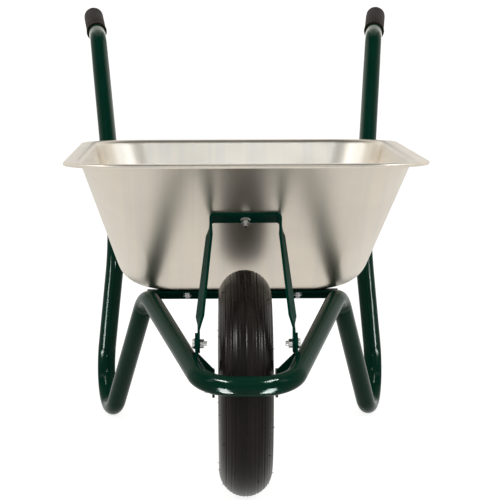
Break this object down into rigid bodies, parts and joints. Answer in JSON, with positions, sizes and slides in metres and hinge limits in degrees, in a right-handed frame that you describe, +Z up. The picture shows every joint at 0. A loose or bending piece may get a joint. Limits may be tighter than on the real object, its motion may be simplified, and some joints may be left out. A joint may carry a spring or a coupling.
{
  "type": "wheelbarrow",
  "caption": "Single-wheel barrow with a pressed sheet tray on one bent tube frame, braced at the front, with a ribbed pneumatic tyre and ribbed handle grips.",
  "frame": {"origin": "on the floor, under the middle of the overall length and width", "axes": "X across to the right seen from the wheel end, Y from the wheel to the handles, Z up"},
  "size_m": [0.6022, 1.3681, 0.6458],
  "materials": {
    "green_paint": "gloss enamel",
    "galvanised_sheet": "satin galvanised",
    "zinc_steel": "bright zinc plate",
    "bearing_steel": "ground steel",
    "rim_paint": "silver enamel",
    "tyre_rubber": "satin black",
    "tube_rubber": "matte black",
    "grip_rubber": "satin black brown",
    "cap_plastic": "matte black"
  },
  "bodies": {
    "frame": {"frame_tube": "green_paint", "front_crossbar": "green_paint", "rear_crossbar": "green_paint", "axle_bracket_left": "green_paint", "axle_bracket_right": "green_paint", "front_brace": "green_paint", "tray": "galvanised_sheet", "tray_floor_bolts": "zinc_steel", "tray_floor_washers": "zinc_steel", "tray_floor_nuts": "zinc_steel", "tray_rear_bolts": "zinc_steel", "tray_rear_washers": "zinc_steel", "tray_rear_nuts": "zinc_steel", "brace_wall_bolt": "zinc_steel", "brace_wall_washer": "zinc_steel", "brace_wall_nut": "zinc_steel", "brace_lower_bolts": "zinc_steel", "brace_lower_nuts": "zinc_steel", "grip_left": "grip_rubber", "grip_right": "grip_rubber", "axle": "bearing_steel", "axle_washers": "zinc_steel", "axle_nuts": "zinc_steel", "axle_spacers": "bearing_steel", "centre_spacer": "bearing_steel", "bearing_inner_rings": "bearing_steel"},
    "wheel": {"bearing_outer_rings": "bearing_steel", "bearing_balls": "bearing_steel", "hub": "rim_paint", "rim_half_left": "rim_paint", "rim_half_right": "rim_paint", "rim_bolts": "zinc_steel", "rim_nuts": "zinc_steel", "tyre": "tyre_rubber", "inner_tube": "tube_rubber", "valve_stem": "tube_rubber", "valve_cap": "cap_plastic"}
  },
  "joints": [
    {"name": "wheel_spin", "type": "hinge", "parent": "frame", "child": "wheel", "pos_m": [0, -0.45408, 0.184], "axis": [1, 0, 0], "continuous": true}
  ]
}
